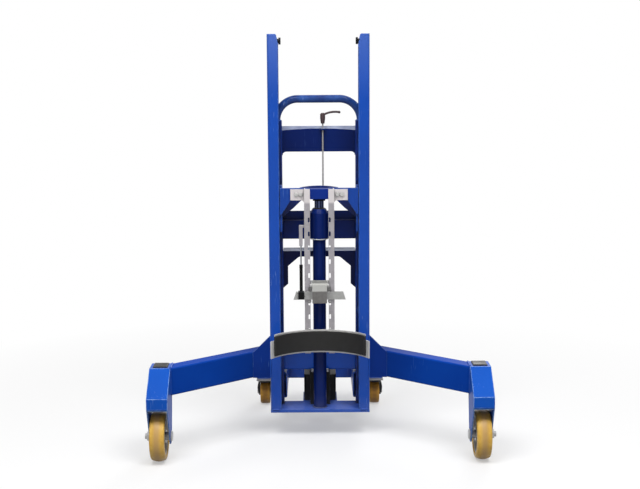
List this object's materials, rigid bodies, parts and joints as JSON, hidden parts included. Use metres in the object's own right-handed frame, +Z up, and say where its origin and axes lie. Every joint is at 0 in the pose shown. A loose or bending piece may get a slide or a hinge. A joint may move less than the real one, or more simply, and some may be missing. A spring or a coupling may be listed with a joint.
{
  "type": "drum depalletizer",
  "caption": "Hand-pushed drum lifter: channel mast with hydraulic ram, slotted gripping head with beak jaw and padded saddle, splayed straddle legs on wheels.",
  "frame": {"origin": "on the floor, under the middle of the machine's outline", "axes": "+Z up, -Y towards the load, +Y towards the operator, +X to the right as seen from the load"},
  "size_m": [1.26, 0.88, 1.518],
  "materials": {
    "blue_paint": "satin powder coat",
    "zinc": "bright zinc plate",
    "navy_paint": "gloss",
    "dark_chrome": "ground, dark chrome",
    "yellow_tyre": "cast polyurethane",
    "wheel_core": "satin grey",
    "black_rubber": "matte",
    "black_plastic": "grained",
    "black_paint": "semi gloss",
    "red_brake": "gloss"
  },
  "bodies": {
    "chassis": {"left_upright": "blue_paint", "right_upright": "blue_paint", "rear_posts": "blue_paint", "handlebar": "blue_paint", "upper_crossmember": "blue_paint", "middle_crossmember": "blue_paint", "lower_crossmember": "blue_paint", "mast_stop_bolts": "black_paint", "base_plate": "blue_paint", "base_crossbeam": "blue_paint", "left_leg": "blue_paint", "right_leg": "blue_paint", "leg_gussets": "blue_paint", "rear_beams": "blue_paint", "rear_crossbeam": "blue_paint", "left_wheel_hood": "blue_paint", "right_wheel_hood": "blue_paint", "wheel_hood_caps": "black_plastic", "front_axles": "zinc", "caster_plates": "zinc", "lift_cylinder": "navy_paint", "cylinder_head": "navy_paint", "pump_unit": "black_paint", "pedal_pin": "zinc"},
    "carriage": {"carriage_plates": "blue_paint", "crosshead": "navy_paint", "lift_ram": "dark_chrome", "roller_pins": "zinc", "left_rail": "zinc", "right_rail": "zinc", "head_bolts": "zinc", "slider_stops": "zinc", "saddle": "zinc", "saddle_pad": "black_rubber", "gas_spring_rod": "dark_chrome"},
    "beak_slider": {"beak_slider": "zinc", "jaw_pin": "zinc", "gas_spring_body": "black_paint"},
    "beak_jaw": {"beak_jaw": "zinc"},
    "lowering_control": {"lowering_rod": "zinc", "lowering_handle": "black_plastic"},
    "pump_pedal": {"pump_pedal": "blue_paint"},
    "upper_left_roller": {"upper_left_roller": "zinc"},
    "upper_right_roller": {"upper_right_roller": "zinc"},
    "lower_left_roller": {"lower_left_roller": "zinc"},
    "lower_right_roller": {"lower_right_roller": "zinc"},
    "left_front_wheel": {"left_front_tyre": "yellow_tyre", "left_front_core": "wheel_core"},
    "left_caster_swivel": {"left_caster_fork": "black_paint", "left_caster_axle": "zinc"},
    "left_caster_wheel": {"left_caster_tyre": "yellow_tyre", "left_caster_core": "wheel_core"},
    "left_caster_brake": {"left_caster_brake": "red_brake"},
    "right_front_wheel": {"right_front_tyre": "yellow_tyre", "right_front_core": "wheel_core"},
    "right_caster_swivel": {"right_caster_fork": "black_paint", "right_caster_axle": "zinc"},
    "right_caster_wheel": {"right_caster_tyre": "yellow_tyre", "right_caster_core": "wheel_core"},
    "right_caster_brake": {"right_caster_brake": "red_brake"}
  },
  "joints": [
    {"name": "lift", "type": "slide", "parent": "chassis", "child": "carriage", "axis": [0, 0, 1], "range_m": [0, 0.51]},
    {"name": "beak_slide", "type": "slide", "parent": "carriage", "child": "beak_slider", "axis": [0, 0, 1], "range_m": [0, 0.07]},
    {"name": "beak_pivot", "type": "hinge", "parent": "beak_slider", "child": "beak_jaw", "pos_m": [0, -0.139, 0.59625], "axis": [-1, 0, 0], "range_deg": [0, 25]},
    {"name": "lowering_turn", "type": "hinge", "parent": "chassis", "child": "lowering_control", "pos_m": [0.0155, -0.001, 1.192], "axis": [0, 0, 1], "range_deg": [0, 90]},
    {"name": "pedal_stroke", "type": "hinge", "parent": "chassis", "child": "pump_pedal", "pos_m": [0, 0.146, 0.242], "axis": [-1, 0, 0], "range_deg": [0, 9], "stiffness_Nm_per_rad": 60, "springref_deg": -5.73},
    {"name": "upper_left_roller_spin", "type": "hinge", "parent": "carriage", "child": "upper_left_roller", "pos_m": [-0.16, -0.046, 0.929], "axis": [1, 0, 0], "range_deg": [0, 886]},
    {"name": "upper_right_roller_spin", "type": "hinge", "parent": "carriage", "child": "upper_right_roller", "pos_m": [0.16, -0.046, 0.929], "axis": [1, 0, 0], "range_deg": [0, 886]},
    {"name": "lower_left_roller_spin", "type": "hinge", "parent": "carriage", "child": "lower_left_roller", "pos_m": [-0.16, -0.046, 0.825], "axis": [1, 0, 0], "range_deg": [-886, 0]},
    {"name": "lower_right_roller_spin", "type": "hinge", "parent": "carriage", "child": "lower_right_roller", "pos_m": [0.16, -0.046, 0.825], "axis": [1, 0, 0], "range_deg": [-886, 0]},
    {"name": "left_front_wheel_spin", "type": "hinge", "parent": "chassis", "child": "left_front_wheel", "pos_m": [-0.5795, -0.35, 0.09], "axis": [1, 0, 0], "continuous": true},
    {"name": "left_caster_turn", "type": "hinge", "parent": "chassis", "child": "left_caster_swivel", "pos_m": [-0.228, 0.355, 0.11], "axis": [0, 0, 1], "continuous": true},
    {"name": "left_caster_wheel_spin", "type": "hinge", "parent": "left_caster_swivel", "child": "left_caster_wheel", "pos_m": [-0.228, 0.39, 0.05], "axis": [1, 0, 0], "continuous": true},
    {"name": "left_caster_brake_press", "type": "hinge", "parent": "left_caster_swivel", "child": "left_caster_brake", "pos_m": [-0.228, 0.419, 0.102], "axis": [-1, 0, 0], "range_deg": [0, 12]},
    {"name": "right_front_wheel_spin", "type": "hinge", "parent": "chassis", "child": "right_front_wheel", "pos_m": [0.5795, -0.35, 0.09], "axis": [1, 0, 0], "continuous": true},
    {"name": "right_caster_turn", "type": "hinge", "parent": "chassis", "child": "right_caster_swivel", "pos_m": [0.228, 0.355, 0.11], "axis": [0, 0, 1], "continuous": true},
    {"name": "right_caster_wheel_spin", "type": "hinge", "parent": "right_caster_swivel", "child": "right_caster_wheel", "pos_m": [0.228, 0.39, 0.05], "axis": [1, 0, 0], "continuous": true},
    {"name": "right_caster_brake_press", "type": "hinge", "parent": "right_caster_swivel", "child": "right_caster_brake", "pos_m": [0.228, 0.419, 0.102], "axis": [-1, 0, 0], "range_deg": [0, 12]}
  ],
  "couplings": [
    {"joint": "upper_left_roller_spin", "follows": "lift", "rad_per_m": 30.303},
    {"joint": "upper_right_roller_spin", "follows": "lift", "rad_per_m": 30.303},
    {"joint": "lower_left_roller_spin", "follows": "lift", "rad_per_m": -30.303},
    {"joint": "lower_right_roller_spin", "follows": "lift", "rad_per_m": -30.303}
  ]
}
